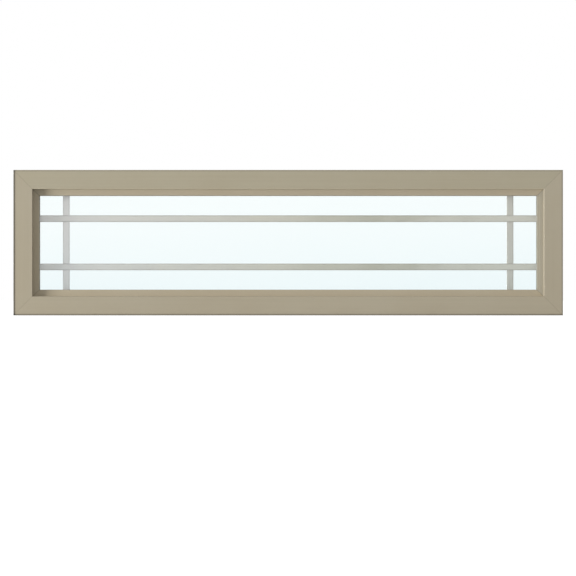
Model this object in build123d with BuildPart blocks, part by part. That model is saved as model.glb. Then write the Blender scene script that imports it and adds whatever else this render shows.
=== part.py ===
# Decorative glass window: a long, low fixed window of the kind set above a door or high in a wall.
# A hollow vinyl frame, mitred and welded at its corners, holds sealed double glass, and four flat
# bars cross between the two sheets. The front faces -Y, the width is along X and Z is up. The
# origin is under the middle of the sill. All sizes are in millimetres.
import os

from build123d import *

# Overall size
window_width = 1308.1
window_height = 346.1
window_depth = 82.6

# Frame profile
face_width = 45.1
return_draft = 0.6
return_depth = 17.8
frame_wall = 2.2
frame_web = 1.5
frame_edge_radius = 1.2
back_slope_fall = 12.0
stop_flat_depth = 9.0
stop_edge_radius = 1.0
front_web_setback = 14.0
cross_web_height = 24.0

# Glazing bead
bead_width = 15.4
bead_wall = 1.3
bead_recess = 0.4
bead_ledge_width = 9.9
bead_ledge_fall = 0.4
bead_quirk = 0.9
bead_lip_fall = 0.3
bead_edge_radius = 0.4
foot_setback = 5.5
foot_thickness = 1.8
foot_length = 6.0
foot_clearance = 0.2
barb_size = 0.9
barb_length = 2.6
groove_lip = 2.6

# Glass
glass_setback = 32.0
glass_clearance = 4.0
pane_thickness = 3.0
air_space = 16.0
gasket_thickness = 2.0
gasket_width = 7.0
gasket_nose = 0.6
gasket_nose_radius = 0.9
tape_thickness = 1.6
tape_width = 8.0
tape_inset = 1.2
block_length = 100.0
block_spacing = 650.0

# Sealed edge of the glass
sealant_depth = 3.4
spacer_height = 6.5
spacer_wall = 0.5

# Flat bars between the sheets
bar_width = 15.9
bar_thickness = 5.5
bar_wall = 0.7
bar_edge_radius = 1.1
bar_side_inset = 63.3
bar_end_inset = 54.4
lap_clearance = 0.2
clip_base = 0.8
clip_tongue = 12.0
clip_clearance = 0.15

# Places worked out from the sizes above. Widths run inwards from the frame's outer face, and
# depths run back from the front face, which lies half the depth in front of the origin.
front = -window_depth / 2
back = window_depth / 2
pocket_floor = face_width + return_draft
sightline = pocket_floor + bead_width
glass_front = front + glass_setback
glass_back = glass_front + 2 * pane_thickness + air_space
stop_front = glass_back + tape_thickness
stop_back = stop_front + stop_flat_depth
bead_front = front + return_depth + bead_recess
bead_back = glass_front - gasket_thickness
foot_middle = bead_back - foot_setback
glass_edge = pocket_floor + glass_clearance
spacer_outer = glass_edge + sealant_depth
spacer_inner = spacer_outer + spacer_height
air_front = glass_front + pane_thickness
air_middle = air_front + air_space / 2

# The four sides of the window. On each side's plane, local x runs inwards from the outer face,
# local y runs back through the window, and the side is extruded both ways along its length.
sides = {
    "sill": (Plane((0, 0, 0), x_dir=(0, 0, 1), z_dir=(-1, 0, 0)), window_width),
    "head": (Plane((0, 0, window_height), x_dir=(0, 0, -1), z_dir=(1, 0, 0)), window_width),
    "jamb_left": (
        Plane((-window_width / 2, 0, window_height / 2), x_dir=(1, 0, 0), z_dir=(0, 0, 1)),
        window_height,
    ),
    "jamb_right": (
        Plane((window_width / 2, 0, window_height / 2), x_dir=(-1, 0, 0), z_dir=(0, 0, -1)),
        window_height,
    ),
}
edge_names = {"sill": "bottom", "head": "top", "jamb_left": "left", "jamb_right": "right"}

os.makedirs("parts", exist_ok=True)


def save(piece, name):
    """Names a finished piece and writes it."""
    piece.part.label = name
    export_step(piece.part, f"parts/{name}.step")


def mitred_side(section, side, name):
    """Extrudes a section along one side of the window and mitres both ends at 45 degrees."""
    plane, length = sides[side]
    inwards = plane.x_dir
    along = plane.z_dir
    with BuildPart() as member:
        with BuildSketch(plane):
            add(section)
        extrude(amount=length / 2, both=True)
        for end in (along, -along):
            corner = plane.origin + end * (length / 2)
            split(bisect_by=Plane(corner, z_dir=inwards + end), keep=Keep.BOTTOM)
    save(member, name)


def frame_section():
    """Section of the frame: a hollow profile with a groove for the bead's foot, a fixed stop
    behind the glass that slopes away to the back face, and webs that divide the hollow."""
    groove_front = foot_middle - foot_thickness / 2 - foot_clearance
    groove_mouth = foot_middle + foot_thickness / 2 + foot_clearance
    groove_back = groove_mouth + barb_size
    groove_floor = pocket_floor - foot_length - foot_clearance
    with BuildSketch() as section:
        with BuildLine():
            FilletPolyline(
                (0, front),
                (face_width, front),
                (pocket_floor, front + return_depth),
                (pocket_floor, groove_front),
                (groove_floor, groove_front),
                (groove_floor, groove_back),
                (pocket_floor - groove_lip, groove_back),
                (pocket_floor - groove_lip, groove_mouth),
                (pocket_floor, groove_mouth),
                (pocket_floor, stop_front),
                (sightline, stop_front),
                (sightline, stop_back),
                (sightline - back_slope_fall, back),
                (0, back),
                radius=(
                    [frame_edge_radius] * 2
                    + [0] * 8
                    + [stop_edge_radius] * 3
                    + [frame_edge_radius]
                ),
                close=True,
            )
        make_face()
        offset(amount=-frame_wall, kind=Kind.INTERSECTION, mode=Mode.SUBTRACT)
        front_web = front + front_web_setback
        stop_web = stop_front + frame_wall - frame_web / 2
        with Locations((pocket_floor / 2, front_web), (pocket_floor / 2, stop_web)):
            Rectangle(pocket_floor - frame_wall, frame_web)
        with Locations((cross_web_height, (front_web + back - frame_wall / 2) / 2)):
            Rectangle(frame_web, back - frame_wall / 2 - front_web)
    return section.sketch


def bead_section():
    """Section of the glazing bead: a hollow stepped profile with a barbed foot."""
    ledge_end = pocket_floor + bead_ledge_width
    ledge_back = bead_front + bead_ledge_fall
    quirk_back = ledge_back + bead_quirk
    lip_edge = sightline - gasket_nose
    foot_end = pocket_floor - foot_length
    foot_front = foot_middle - foot_thickness / 2
    foot_back = foot_middle + foot_thickness / 2
    with BuildSketch() as section:
        with BuildLine():
            FilletPolyline(
                (pocket_floor, bead_front),
                (ledge_end, ledge_back),
                (ledge_end, quirk_back),
                (lip_edge, quirk_back + bead_lip_fall),
                (lip_edge, bead_back),
                (pocket_floor, bead_back),
                radius=[0, bead_edge_radius, 0, bead_edge_radius, 0, 0],
                close=True,
            )
        make_face()
        offset(amount=-bead_wall, kind=Kind.INTERSECTION, mode=Mode.SUBTRACT)
        with BuildLine():
            Polyline(
                (pocket_floor + bead_wall / 2, foot_front),
                (foot_end, foot_front),
                (foot_end, foot_back),
                (foot_end + barb_length, foot_back + barb_size - foot_clearance),
                (foot_end + barb_length, foot_back),
                (pocket_floor + bead_wall / 2, foot_back),
                close=True,
            )
        make_face()
    return section.sketch


def strip_section(inner_edge, strip_width, near, far, nose_radius=0):
    """Section of a flat strip that ends at inner_edge, between two depths."""
    with BuildSketch() as section:
        with Locations((inner_edge - strip_width / 2, (near + far) / 2)):
            Rectangle(strip_width, far - near)
        if nose_radius:
            fillet(section.vertices().group_by(Axis.X)[-1], nose_radius)
    return section.sketch


def spacer_section():
    """Section of the hollow metal spacer between the sheets."""
    with BuildSketch() as section:
        with Locations(((spacer_outer + spacer_inner) / 2, air_middle)):
            Rectangle(spacer_height, air_space)
            Rectangle(spacer_height - 2 * spacer_wall, air_space - 2 * spacer_wall, mode=Mode.SUBTRACT)
    return section.sketch


def make_frame():
    section = frame_section()
    for side in sides:
        mitred_side(section, side, f"frame_{side}")


def make_beads():
    section = bead_section()
    for side in sides:
        mitred_side(section, side, f"bead_{edge_names[side]}")


def make_seals():
    """The soft lip in front of the glass and the foam tape behind it."""
    gasket = strip_section(
        sightline, gasket_width, bead_back, glass_front, nose_radius=gasket_nose_radius
    )
    tape = strip_section(sightline - tape_inset, tape_width, glass_back, stop_front)
    for side in sides:
        mitred_side(gasket, side, f"bead_gasket_{edge_names[side]}")
        mitred_side(tape, side, f"glazing_tape_{edge_names[side]}")


def make_panes():
    """The two sheets of glass, one each side of the air space."""
    for name, pane_front in (("front_pane", glass_front), ("back_pane", glass_back - pane_thickness)):
        with BuildPart() as pane:
            with BuildSketch(Plane.XZ.offset(-pane_front)):
                with Locations((0, window_height / 2)):
                    Rectangle(window_width - 2 * glass_edge, window_height - 2 * glass_edge)
            extrude(amount=-pane_thickness)
        save(pane, name)


def make_sealed_edge():
    """The hollow spacer on four sides and the sealant that fills the edge outside it."""
    section = spacer_section()
    for side in sides:
        mitred_side(section, side, f"spacer_{edge_names[side]}")
    with BuildPart() as sealant:
        with BuildSketch(Plane.XZ.offset(-air_front)):
            with Locations((0, window_height / 2)):
                Rectangle(window_width - 2 * glass_edge, window_height - 2 * glass_edge)
                Rectangle(
                    window_width - 2 * spacer_outer,
                    window_height - 2 * spacer_outer,
                    mode=Mode.SUBTRACT,
                )
        extrude(amount=-air_space)
    save(sealant, "edge_sealant")


def make_setting_blocks():
    """The two blocks that carry the glass on the sill."""
    for name, block_x in (("left", -block_spacing / 2), ("right", block_spacing / 2)):
        with BuildPart() as block:
            with BuildSketch(Plane.XY.offset(pocket_floor)):
                with Locations((block_x, (glass_front + glass_back) / 2)):
                    Rectangle(block_length, glass_back - glass_front)
            extrude(amount=glass_clearance)
        save(block, f"setting_block_{name}")


def make_grid():
    """Four flat hollow bars, half lapped where they cross, each held at both ends by a clip whose
    tongue fits inside the bar and whose base stands on the spacer."""
    across = window_width / 2 - sightline - bar_side_inset
    upright = window_height / 2 - sightline - bar_end_inset
    centre = Vector(0, air_middle, window_height / 2)
    half_width = window_width / 2 - spacer_inner
    half_height = window_height / 2 - spacer_inner
    x_axis = Vector(1, 0, 0)
    z_axis = Vector(0, 0, 1)
    bars = [
        ("upper", centre + z_axis * upright, x_axis, z_axis, half_width, across, ("left", "right")),
        ("lower", centre - z_axis * upright, x_axis, z_axis, half_width, across, ("left", "right")),
        ("left", centre - x_axis * across, z_axis, x_axis, half_height, upright, ("bottom", "top")),
        ("right", centre + x_axis * across, z_axis, x_axis, half_height, upright, ("bottom", "top")),
    ]
    for name, middle, along, crosswise, half_space, lap_offset, end_names in bars:
        # Local -y is the back of a long bar and the front of a short one, so the laps interlock.
        plane = Plane(middle, x_dir=crosswise, z_dir=along)
        with BuildPart() as bar:
            with BuildSketch(plane):
                RectangleRounded(bar_width, bar_thickness, bar_edge_radius)
                Rectangle(
                    bar_width - 2 * bar_wall, bar_thickness - 2 * bar_wall, mode=Mode.SUBTRACT
                )
            extrude(amount=half_space - clip_base, both=True)
            for lap_place in (-lap_offset, lap_offset):
                with BuildSketch(plane.offset(lap_place)):
                    with Locations((0, -bar_thickness / 2)):
                        Rectangle(bar_width, bar_thickness + lap_clearance)
                extrude(amount=bar_width / 2 + lap_clearance, both=True, mode=Mode.SUBTRACT)
        save(bar, f"grid_bar_{name}")
        for end, end_name in zip((-1, 1), end_names):
            foot_plane = Plane(
                middle + along * (end * half_space), x_dir=crosswise, z_dir=along * -end
            )
            with BuildPart() as clip:
                with BuildSketch(foot_plane):
                    Rectangle(bar_width, bar_thickness)
                extrude(amount=clip_base)
                with BuildSketch(foot_plane.offset(clip_base)):
                    Rectangle(
                        bar_width - 2 * bar_wall - 2 * clip_clearance,
                        bar_thickness - 2 * bar_wall - 2 * clip_clearance,
                    )
                extrude(amount=clip_tongue)
            save(clip, f"bar_clip_{name}_{end_name}")


make_frame()
make_beads()
make_seals()
make_panes()
make_sealed_edge()
make_setting_blocks()
make_grid()
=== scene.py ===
# Decorative glass window: a long, low fixed window with a tan vinyl frame, sealed double glass and
# four flat bars between the sheets. All places are in metres in the CAD part's frame: the front
# faces -Y, the width is along X, Z is up, and the origin is under the middle of the sill.
import math

import bpy
import numpy as np
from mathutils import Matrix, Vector


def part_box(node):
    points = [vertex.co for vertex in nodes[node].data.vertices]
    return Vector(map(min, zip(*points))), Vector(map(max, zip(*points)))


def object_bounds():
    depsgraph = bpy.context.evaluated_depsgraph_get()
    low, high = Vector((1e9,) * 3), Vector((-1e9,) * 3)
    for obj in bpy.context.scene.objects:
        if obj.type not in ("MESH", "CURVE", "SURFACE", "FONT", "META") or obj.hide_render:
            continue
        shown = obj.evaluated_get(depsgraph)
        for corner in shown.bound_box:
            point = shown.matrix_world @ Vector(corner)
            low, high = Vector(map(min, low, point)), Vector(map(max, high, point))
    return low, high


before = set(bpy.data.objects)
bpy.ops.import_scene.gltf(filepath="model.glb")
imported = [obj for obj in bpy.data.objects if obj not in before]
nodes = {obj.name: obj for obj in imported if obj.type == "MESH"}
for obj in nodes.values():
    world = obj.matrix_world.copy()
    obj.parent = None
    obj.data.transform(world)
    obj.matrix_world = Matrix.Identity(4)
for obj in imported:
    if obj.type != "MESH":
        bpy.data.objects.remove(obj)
cad_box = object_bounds()

# Frame
# Four lengths of hollow vinyl profile, mitred and welded at the corners. The die leaves faint lines
# along each length, and each cleaned weld shows as a fine groove. Painted shade runs along the
# outer front arrises, strongest at the left and bottom, and a painted highlight along the head's
# inner arris offsets the shade under the head.
x_axis, y_axis, z_axis = 0, 1, 2
frame_low, frame_high = cad_box
half_width = (frame_high[x_axis] - frame_low[x_axis]) / 2
half_height = (frame_high[z_axis] - frame_low[z_axis]) / 2
front = frame_low[y_axis]
face_width = 0.0451
frame_shade = "#aba18b"
# The head is painted a little darker, as painted shade that brings it closer in tone to the top
# bead.
head_painted_darker_shade = "#a9a089"
cool_cast = (0.985, 1.0, 1.02, 1.0)
weld_width = 0.0011
weld_darkness = 0.22
arris_depth, arris_width = 0.0044, 0.0044
left_arris_width = 0.006
inner_arris_width = 0.0016
# Painted shade along the outer front arrises, strongest at the left and bottom; the head adds a
# painted highlight along its inner arris.
outer_arris_painted_shade = (
    ("any", arris_width, 0.24),
    ("left", left_arris_width, 0.5),
    ("bottom", arris_width, 0.28),
)
head_arris_painted_light_and_shade = (*outer_arris_painted_shade, ("head_inner", inner_arris_width, -0.36))
drawn_out = 0.01
broad_line_scale, broad_line_contrast = 260, 0.015
fine_line_scale, fine_line_share = 1400, 0.6
mottle_scale, mottle_contrast = 7, 0.025
grain_scale, grain_contrast = 2200, 0.02
vinyl_roughness = (0.44, 0.56)
skin_relief = 0.00006
seam_relief = 4.0
noise_low, noise_high = 0.3, 0.7


def colour(shown):
    """Linear colour of a shade that is written as it shows, "#rrggbb", by the sRGB curve."""
    parts = np.array([int(shown[i : i + 2], 16) for i in (1, 3, 5)]) / 255
    linear = np.where(parts <= 0.04045, parts / 12.92, ((parts + 0.055) / 1.055) ** 2.4)
    return (*linear.tolist(), 1.0)


def add(tree, kind, inputs, **settings):
    """Adds a shader node. Each input takes a value or the output of another node."""
    node = tree.nodes.new(kind)
    for key, value in settings.items():
        setattr(node, key, value)
    for socket, value in inputs.items():
        if isinstance(value, bpy.types.NodeSocket):
            tree.links.new(value, node.inputs[socket])
        else:
            node.inputs[socket].default_value = value
    return node


def maths(tree, operation, *terms):
    """The output of one step of arithmetic on values or outputs."""
    return add(tree, "ShaderNodeMath", dict(enumerate(terms)), operation=operation).outputs[0]


def distance(tree, first, second):
    """The size of the difference of two values."""
    return maths(tree, "ABSOLUTE", maths(tree, "SUBTRACT", first, second))


def noise(tree, place, scale, along=None, detail=3.0, draw=drawn_out):
    """Noise, mostly between noise_low and noise_high, drawn out along an axis if one is given."""
    stretch = [draw if axis == along else 1.0 for axis in range(3)]
    drawn = add(tree, "ShaderNodeVectorMath", {0: place, 1: stretch}, operation="MULTIPLY")
    inputs = {"Vector": drawn.outputs[0], "Scale": scale, "Detail": detail}
    return add(tree, "ShaderNodeTexNoise", inputs).outputs["Fac"]


def spread(tree, value, low, high, start=noise_low, end=noise_high):
    """Takes a value in a straight line from start..end to low..high, and holds it in that range."""
    inputs = {"Value": value, "From Min": start, "From Max": end, "To Min": low, "To Max": high}
    return add(tree, "ShaderNodeMapRange", inputs).outputs["Result"]


def mix_colour(tree, factor, first, second):
    """A colour that goes from the first to the second as the factor goes from 0 to 1."""
    inputs = {0: factor, 6: first, 7: second}
    return add(tree, "ShaderNodeMix", inputs, data_type="RGBA").outputs[2]


def dim(tree, shade, factor):
    """A colour times a grey value."""
    inputs = {"Vector": shade, "Scale": factor}
    return add(tree, "ShaderNodeVectorMath", inputs, operation="SCALE").outputs[0]


def vary(tree, shade, value, contrast):
    """A colour that goes from 1 - c to 1 + c times itself as noise goes from low to high."""
    return dim(tree, shade, spread(tree, value, 1 - contrast, 1 + contrast))


def raise_surface(tree, shader, height, relief):
    """Gives the shader a bump of that height field. The relief is a height of 1, in metres."""
    bump = add(tree, "ShaderNodeBump", {"Height": height, "Distance": relief, "Strength": 1.0})
    tree.links.new(bump.outputs["Normal"], shader.inputs["Normal"])


def start_material(name):
    """A new material, with its node tree, its shader and its Object coordinates."""
    material = bpy.data.materials.new(name)
    material.use_nodes = True
    tree = material.node_tree
    place = add(tree, "ShaderNodeTexCoord", {}).outputs["Object"]
    return material, tree, tree.nodes["Principled BSDF"], place


def axes(tree, place):
    """The three coordinates of a place."""
    return add(tree, "ShaderNodeSeparateXYZ", {0: place}).outputs


def vinyl(name, shade, along, seam_width, seam_darkness, edge_lines=()):
    """Satin vinyl with die lines along one axis, a soft mottle, a fine grain, a seam where the
    distances in from a side and from an end are equal, and a line of painted light along each arris
    that is given: painted shade where its darkness is above 0, and a painted highlight below."""
    material, tree, shader, place = start_material(name)
    x, y, z = axes(tree, place)
    broad_lines = noise(tree, place, broad_line_scale, along, detail=2.0)
    fine_lines = noise(tree, place, fine_line_scale, along, detail=2.0)
    mottle = noise(tree, place, mottle_scale, detail=4.0)
    grain = noise(tree, place, grain_scale, detail=2.0)

    from_side = maths(tree, "SUBTRACT", half_width, maths(tree, "ABSOLUTE", x))
    from_end = maths(tree, "SUBTRACT", half_height, distance(tree, z, half_height))
    seam = spread(tree, distance(tree, from_side, from_end), 1, 0, 0, seam_width)
    edges = {
        "any": maths(tree, "MINIMUM", from_side, from_end),
        "left": maths(tree, "ADD", x, half_width),
        "bottom": z,
        "head_inner": distance(tree, z, frame_high[z_axis] - face_width),
    }
    # Painted shade along the given arrises, lessened where a painted highlight is given.
    painted_arris_light_and_shade = 0.0
    for edge, width, darkness in edge_lines:
        line = spread(tree, edges[edge], darkness, 0, width / 2, width)
        painted_arris_light_and_shade = maths(tree, "ADD", painted_arris_light_and_shade, line)
    on_front = spread(tree, y, 1, 0, front + arris_depth / 2, front + arris_depth)
    painted_arris_light_and_shade = maths(tree, "MULTIPLY", painted_arris_light_and_shade, on_front)

    warm = colour(shade)
    cool = tuple(part * cast for part, cast in zip(warm, cool_cast))
    tone = mix_colour(tree, spread(tree, mottle, 0, 1), warm, cool)
    tone = vary(tree, tone, mottle, mottle_contrast)
    tone = vary(tree, tone, broad_lines, broad_line_contrast)
    tone = vary(tree, tone, grain, grain_contrast)
    tone = dim(tree, tone, maths(tree, "MULTIPLY_ADD", seam, -seam_darkness, 1))
    tone = dim(tree, tone, maths(tree, "SUBTRACT", 1, painted_arris_light_and_shade))
    tree.links.new(tone, shader.inputs["Base Color"])
    tree.links.new(spread(tree, fine_lines, *vinyl_roughness), shader.inputs["Roughness"])

    grain_part = maths(tree, "MULTIPLY", grain, 1 - fine_line_share)
    skin = maths(tree, "MULTIPLY_ADD", fine_lines, fine_line_share, grain_part)
    height = maths(tree, "MULTIPLY_ADD", seam, -seam_relief, skin)
    raise_surface(tree, shader, height, skin_relief)
    return material


def put_finish(names, material):
    """Puts a material on every slot of these CAD nodes."""
    for name in names:
        for slot in nodes[name].material_slots:
            slot.material = material


for way, along, shade, arrises, members in (
    ("head", x_axis, head_painted_darker_shade, head_arris_painted_light_and_shade, ("frame_head",)),
    ("sill", x_axis, frame_shade, outer_arris_painted_shade, ("frame_sill",)),
    ("jambs", z_axis, frame_shade, outer_arris_painted_shade, ("frame_jamb_left", "frame_jamb_right")),
):
    put_finish(
        members, vinyl(f"frame_vinyl_{way}", shade, along, weld_width, weld_darkness, arrises)
    )

# Glazing tape
# Closed-cell foam tape, grey, with glue on both faces. It is stuck to the fixed leg of the frame
# first, beds the glass, and is squeezed to its present thickness by the beads.
edge_names = ("top", "bottom", "left", "right")
tape_shade = "#86837b"
tape_cells, tape_contrast = 1600, 0.15
tape_roughness = (0.8, 0.95)
tape_relief = 0.00015
cloud_size, cloud_contrast = 40, 0.05


def moulded(name, shade, cells_scale, contrast, roughness, relief):
    """Matt moulded or foamed stock. Noise of the scale of its cells sets the tone, roughness and
    relief, and clouds many cells wide change the tone a little."""
    material, tree, shader, place = start_material(name)
    cells = noise(tree, place, cells_scale, detail=4.0)
    clouds = noise(tree, place, cells_scale / cloud_size, detail=2.0)
    tone = vary(tree, colour(shade)[:3], cells, contrast)
    tone = vary(tree, tone, clouds, cloud_contrast)
    tree.links.new(tone, shader.inputs["Base Color"])
    tree.links.new(spread(tree, cells, *roughness), shader.inputs["Roughness"])
    raise_surface(tree, shader, cells, relief)
    return material


put_finish(
    [f"glazing_tape_{edge}" for edge in edge_names],
    moulded("glazing_tape", tape_shade, tape_cells, tape_contrast, tape_roughness, tape_relief),
)

# Setting blocks
# Two hard rubber blocks, cut from strip. They stand on the floor of the sill's pocket and carry the
# weight of the glass.
block_shade = "#2c2c2b"
block_cells, block_contrast = 1100, 0.1
block_roughness = (0.6, 0.75)
block_relief = 0.00006

put_finish(
    ["setting_block_left", "setting_block_right"],
    moulded(
        "setting_block", block_shade, block_cells, block_contrast, block_roughness, block_relief
    ),
)

# Spacer
# A thin-walled box of mill-finish aluminium round the air space, full of drying beads. Two rows of
# fine slots let it breathe, and black butyl sticks its two sides to the glass.
spacer_low, spacer_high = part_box("spacer_top")
spacer_middle = (spacer_low[y_axis] + spacer_high[y_axis]) / 2
slot_pitch = 0.004
slot_length = 0.0016
slot_width = 0.0005
row_offset = 0.0028
side_facing = 0.9
rolled_line_scale, rolled_line_contrast = 1800, 0.045
metal_shade = "#d2d3d4"
dark_shade = "#1d1d1c"
metal_roughness = (0.3, 0.44)
dark_roughness = 0.25
slot_relief = 3
metal_relief = 0.00004


def spacer_metal(name, along):
    """Mill aluminium with rolling lines along one axis. A slot shows dark, as painted shade inside
    it, where the place along that axis is near a whole number of pitches and the place across is
    inside a row. Sides that face the glass are black."""
    material, tree, shader, place = start_material(name)
    places = axes(tree, place)
    lines = noise(tree, place, rolled_line_scale, along)
    step = maths(tree, "PINGPONG", places[along], slot_pitch / 2)
    in_slot = maths(tree, "LESS_THAN", step, slot_length / 2)
    off_row = distance(tree, distance(tree, places[y_axis], spacer_middle), row_offset)
    in_row = maths(tree, "LESS_THAN", off_row, slot_width / 2)
    hole = maths(tree, "MULTIPLY", in_slot, in_row)
    normal = add(tree, "ShaderNodeNewGeometry", {}).outputs["Normal"]
    facing = maths(tree, "ABSOLUTE", axes(tree, normal)[y_axis])
    butyl = maths(tree, "GREATER_THAN", facing, side_facing)
    # The slots are painted dark as the shade inside them, and the butyl is black.
    dark = maths(tree, "MAXIMUM", hole, butyl)
    metal = vary(tree, colour(metal_shade)[:3], lines, rolled_line_contrast)
    tone = mix_colour(tree, dark, metal, colour(dark_shade))
    rough = spread(tree, lines, *metal_roughness)
    rough = maths(tree, "MULTIPLY_ADD", dark, dark_roughness, rough)
    tree.links.new(tone, shader.inputs["Base Color"])
    tree.links.new(maths(tree, "SUBTRACT", 1, dark), shader.inputs["Metallic"])
    tree.links.new(rough, shader.inputs["Roughness"])
    height = maths(tree, "MULTIPLY_ADD", hole, -slot_relief, lines)
    raise_surface(tree, shader, height, metal_relief)
    return material


put_finish(["spacer_top", "spacer_bottom"], spacer_metal("spacer_level", x_axis))
put_finish(["spacer_left", "spacer_right"], spacer_metal("spacer_upright", z_axis))

# Bar clips
# Moulded nylon plugs, pale grey. The base stands on the spacer, and the tongue is pushed into the
# bar's end.
clip_shade = "#c4c4bd"
clip_cells, clip_contrast = 700, 0.03
clip_roughness = (0.42, 0.55)
clip_relief = 0.00004

put_finish(
    [name for name in nodes if name.startswith("bar_clip_")],
    moulded("bar_clip", clip_shade, clip_cells, clip_contrast, clip_roughness, clip_relief),
)

# Flat bars
# Hollow rolled aluminium bars with a satin coat, half lapped where they cross. Their colour stops
# hold painted light and a painted reflection: the long bars are paler at the left, against the
# jamb's shadow, and warmer and duller right of the middle; the short bars are paler at the left
# against the jamb's shadow and darker at the right against the lamp's light. The rolled edges are
# painted darker, as shade.
# Colour stops with painted light: paler at the left against the jamb's shadow, a painted reflection
# right of the middle on the long bars, and darker at the right of the short bars against the lamp.
long_stops_painted_light = ((0, "#e3dedb"), (0.5, "#d9d2c5"), (0.67, "#c6c0b0"), (0.8, "#d7d1c5"), (1, "#dbd5ca"))
short_stops_painted_light = ((0.2, "#eae5e3"), (0.8, "#d2ccc3"))
middle_stop = 0.5
bar_low, bar_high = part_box("grid_bar_upper")
bar_left, bar_right = bar_low[x_axis], bar_high[x_axis]
bar_drawn_out = 0.008
bar_line_scale, bar_line_contrast = 1500, 0.02
bar_cloud_scale, bar_cloud_drift, bar_cloud_contrast = 9, 0.08, 0.035
bar_metallic = 0.85
bar_roughness = (0.48, 0.58)
bar_relief = 0.00003
rim_width = 0.003
rim_painted_shade = 0.16


def bar_coat(name, along, across, stop_shades, members):
    """Satin coat on metal. The place along X, moved a little by clouds, picks its shade from the
    stops, which hold painted light and a painted reflection. The rims are painted darker, as shade
    on the rolled edges, where the distance from the nearest bar's middle line is largest."""
    material, tree, shader, place = start_material(name)
    places = axes(tree, place)
    lines = noise(tree, place, bar_line_scale, along, detail=2.0, draw=bar_drawn_out)
    cloud = noise(tree, place, bar_cloud_scale)
    run = spread(tree, places[x_axis], 0, 1, bar_left, bar_right)
    run = maths(tree, "ADD", run, spread(tree, cloud, -bar_cloud_drift, bar_cloud_drift))
    ramp = add(tree, "ShaderNodeValToRGB", {"Fac": run})
    stops = ramp.color_ramp.elements
    while len(stops) < len(stop_shades):
        stops.new(middle_stop)
    for stop, (position, shade) in zip(stops, stop_shades):
        stop.position = position
        stop.color = colour(shade)
    corners = [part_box(member) for member in members]
    off_lines = [
        distance(tree, places[across], (low[across] + high[across]) / 2) for low, high in corners
    ]
    off_line = maths(tree, "MINIMUM", *off_lines)
    low, high = corners[0]
    half = (high[across] - low[across]) / 2
    # Painted shade on the rolled edges.
    rim = spread(tree, off_line, 1, 1 - rim_painted_shade, half - rim_width, half - rim_width / 2)
    tone = vary(tree, ramp.outputs["Color"], cloud, bar_cloud_contrast)
    tone = vary(tree, tone, lines, bar_line_contrast)
    tree.links.new(dim(tree, tone, rim), shader.inputs["Base Color"])
    tree.links.new(spread(tree, lines, *bar_roughness), shader.inputs["Roughness"])
    shader.inputs["Metallic"].default_value = bar_metallic
    raise_surface(tree, shader, lines, bar_relief)
    return material


for way, along, across, stop_shades, members in (
    ("level", x_axis, z_axis, long_stops_painted_light, ("grid_bar_upper", "grid_bar_lower")),
    ("upright", z_axis, x_axis, short_stops_painted_light, ("grid_bar_left", "grid_bar_right")),
):
    put_finish(members, bar_coat(f"bar_coat_{way}", along, across, stop_shades, members))

# Glass
# Two sheets of clear float glass, each 3 mm thick, sealed round their edges with dry air between.
# Float glass takes a little red out of the light, and the tint is a little deeper low down and to
# the right.
through_tint = (0.93, 0.99, 0.99)
deeper_tint = (0.85, 0.945, 0.96)
deeper_tint_slant = 0.12
deeper_tint_fade = 1.6
cloud_scale = 5
cloud_share = 0.1
mirror_shade = "#ffffff"
mirror_roughness = (0.0, 0.03)
face_reflection = 0.04
slant_power = 5
faces_crossed = 4
glass_low, glass_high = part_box("front_pane")


def glass():
    """A sheet that lets light straight through and mirrors more of it at a slant. The mirrored
    share is f + (1 - f) (1 - c)^5, with f the share head on and c the cosine of the slant. The
    tint of a crossing is the fourth root of the whole, because a view crosses four faces."""
    material, tree, shader, place = start_material("float_glass")
    tree.nodes.remove(shader)
    x, _, z = axes(tree, place)
    cloud = noise(tree, place, cloud_scale)
    clear, deepened = (
        (*(part ** (1 / faces_crossed) for part in tint), 1.0)
        for tint in (through_tint, deeper_tint)
    )
    deepening = spread(tree, z, 1, 0, glass_low[z_axis], glass_high[z_axis])
    deepening = maths(tree, "POWER", deepening, deeper_tint_fade)
    lean = spread(tree, x, -deeper_tint_slant, deeper_tint_slant, glass_low[x_axis], glass_high[x_axis])
    deepening = maths(tree, "ADD", deepening, lean)
    patches = spread(tree, cloud, 1 - cloud_share, 1 + cloud_share)
    deepening = maths(tree, "MULTIPLY", deepening, patches)
    tint = mix_colour(tree, deepening, clear, deepened)
    slant = add(tree, "ShaderNodeLayerWeight", {"Blend": 0.5}).outputs["Facing"]
    steep = maths(tree, "POWER", slant, slant_power)
    share = maths(tree, "MULTIPLY_ADD", steep, 1 - face_reflection, face_reflection)
    through = add(tree, "ShaderNodeBsdfTransparent", {"Color": tint}).outputs[0]
    gloss = {"Color": colour(mirror_shade), "Roughness": spread(tree, cloud, *mirror_roughness)}
    mirror = add(tree, "ShaderNodeBsdfAnisotropic", gloss).outputs[0]
    both = add(tree, "ShaderNodeMixShader", {0: share, 1: through, 2: mirror}).outputs[0]
    tree.links.new(both, tree.nodes["Material Output"].inputs["Surface"])
    return material


put_finish(["front_pane", "back_pane"], glass())

# Edge sealant
# Dark two-part sealant, run in by nozzle and struck off flush. It closes the sealed glass: it fills
# the edge between the sheets, outside the spacer, on all four sides.
sealant_shade = "#3a3a3a"
sealant_cells, sealant_contrast = 420, 0.15
sealant_roughness = (0.55, 0.72)
sealant_relief = 0.0002

put_finish(
    ["edge_sealant"],
    moulded(
        "edge_sealant",
        sealant_shade,
        sealant_cells,
        sealant_contrast,
        sealant_roughness,
        sealant_relief,
    ),
)

# Glazing beads
# Hollow vinyl strips, cut at 45 degrees and pressed into the frame's groove last, once the glass is
# in. Their corners aren't welded, so each shows a slightly open joint. The right one is painted
# greyer, as painted shade against the light thrown on it from the lit right jamb, and the top one
# is painted paler, as painted light against the shade under the head.
bead_shade = "#b1a58d"
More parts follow.
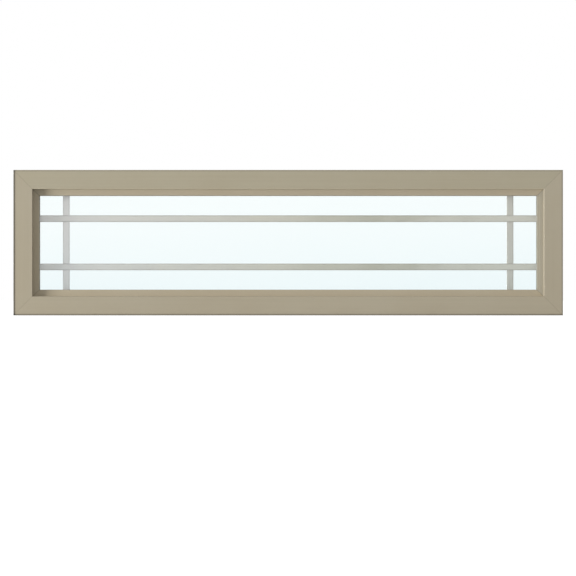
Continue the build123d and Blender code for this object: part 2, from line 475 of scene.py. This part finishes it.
# Painted light: the top bead is paler against the shade under the head.
top_bead_painted_light_shade = "#b5a991"
# Painted shade: the right bead is greyer against the light from the lit right jamb.
right_bead_painted_shade = "#a69f8d"
joint_width = 0.0012
joint_darkness = 0.45

for way, along, shade, members in (
    ("top", x_axis, top_bead_painted_light_shade, ("bead_top",)),
    ("bottom", x_axis, bead_shade, ("bead_bottom",)),
    ("left", z_axis, bead_shade, ("bead_left",)),
    ("right", z_axis, right_bead_painted_shade, ("bead_right",)),
):
    put_finish(members, vinyl(f"bead_vinyl_{way}", shade, along, joint_width, joint_darkness))

# Bead gaskets
# A soft lip of flexible vinyl, a shade darker than the bead, run into the bead's back so that it
# presses on the glass all round.
gasket_shade = "#857c6c"
gasket_cells, gasket_contrast = 900, 0.05
gasket_roughness = (0.58, 0.7)
gasket_relief = 0.00005

put_finish(
    [f"bead_gasket_{edge}" for edge in edge_names],
    moulded(
        "bead_gasket", gasket_shade, gasket_cells, gasket_contrast, gasket_roughness, gasket_relief
    ),
)

# Floor
# A plain pale floor at the height of the sill's underside. It isn't part of the window. It shows
# white to the camera and keeps the window's soft shadow.
floor_half = 16.0
floor_level = -0.0002
floor_shade = "#e6e6e6"
floor_glow = 0.62
floor_steps = 3


def floor_mesh():
    """A level square grid: x and y run from -h to h in equal steps, and z is the floor's level."""
    line = np.linspace(-floor_half, floor_half, floor_steps)
    x, y = np.meshgrid(line, line, indexing="ij")
    points = np.stack([x, y, np.full_like(x, floor_level)], axis=-1).reshape(-1, 3)
    index = np.arange(floor_steps**2).reshape(floor_steps, floor_steps)
    faces = np.stack(
        [index[:-1, :-1], index[1:, :-1], index[1:, 1:], index[:-1, 1:]], axis=-1
    ).reshape(-1, 4)
    mesh = bpy.data.meshes.new("floor")
    mesh.from_pydata(points.tolist(), [], faces.tolist())
    return mesh


floor = bpy.data.objects.new("floor", floor_mesh())
bpy.context.scene.collection.objects.link(floor)
paint, tree, shader, _ = start_material("floor_paint")
tree.nodes.remove(shader)
to_camera = add(tree, "ShaderNodeLightPath", {}).outputs["Is Camera Ray"]
matt = add(tree, "ShaderNodeBsdfDiffuse", {"Color": colour(floor_shade)}).outputs[0]
strength = maths(tree, "MULTIPLY", to_camera, floor_glow)
glow = add(tree, "ShaderNodeEmission", {"Strength": strength}).outputs[0]
both = add(tree, "ShaderNodeAddShader", {0: matt, 1: glow}).outputs[0]
tree.links.new(both, tree.nodes["Material Output"].inputs["Surface"])
floor.data.materials.append(paint)

# Surroundings
# A plain white studio. It shows white to the camera, in mirrors and through the glass, and lights
# the rest softly from all round.
studio_shade = "#ffffff"
soft_level, full_level = 0.6, 1.0
world = bpy.data.worlds.new("studio")
bpy.context.scene.world = world
world.use_nodes = True
tree = world.node_tree
paths = add(tree, "ShaderNodeLightPath", {}).outputs
seen = maths(tree, "MAXIMUM", paths["Is Camera Ray"], paths["Is Glossy Ray"])
seen = maths(tree, "MAXIMUM", seen, paths["Is Transmission Ray"])
studio = tree.nodes["Background"].inputs
studio["Color"].default_value = colour(studio_shade)
tree.links.new(spread(tree, seen, soft_level, full_level, 0, 1), studio["Strength"])

# Key light
# A wide, low soft box far off to the left, 22 degrees in front of the plane of the window. It puts
# the left bead in the jamb's shadow.
key_distance = 12.0
key_angle = math.radians(22)
key_height = 0.28
key_width = 4.0
key_depth = 0.5
key_power = 1560.0
aim = Vector((0, front, half_height))
lamp = bpy.data.lights.new("key_light", "AREA")
lamp.shape = "RECTANGLE"
lamp.size = key_width
lamp.size_y = key_depth
lamp.energy = key_power
key_light = bpy.data.objects.new("key_light", lamp)
key_light.location = (
    -key_distance * math.cos(key_angle),
    front - key_distance * math.sin(key_angle),
    key_height,
)
key_light.rotation_euler = (aim - key_light.location).to_track_quat("-Z", "Y").to_euler()
bpy.context.scene.collection.objects.link(key_light)

# Camera
# Straight on and level, a little below the middle of the window, so that the window stands in the
# upper part of the picture.
camera_distance = 14.0
camera_height = 0.0651
camera_side = -0.0004
picture_width = 1.3709
sensor_width = 36.0
far_limit = 100.0
view = bpy.data.cameras.new("camera")
view.sensor_width = sensor_width
view.lens = sensor_width * camera_distance / picture_width
view.clip_end = far_limit
camera = bpy.data.objects.new("camera", view)
camera.location = (camera_side, front - camera_distance, camera_height)
camera.rotation_euler = (math.pi / 2, 0, 0)
bpy.context.scene.collection.objects.link(camera)
bpy.context.scene.camera = camera
bpy.context.scene.view_settings.view_transform = "Standard"
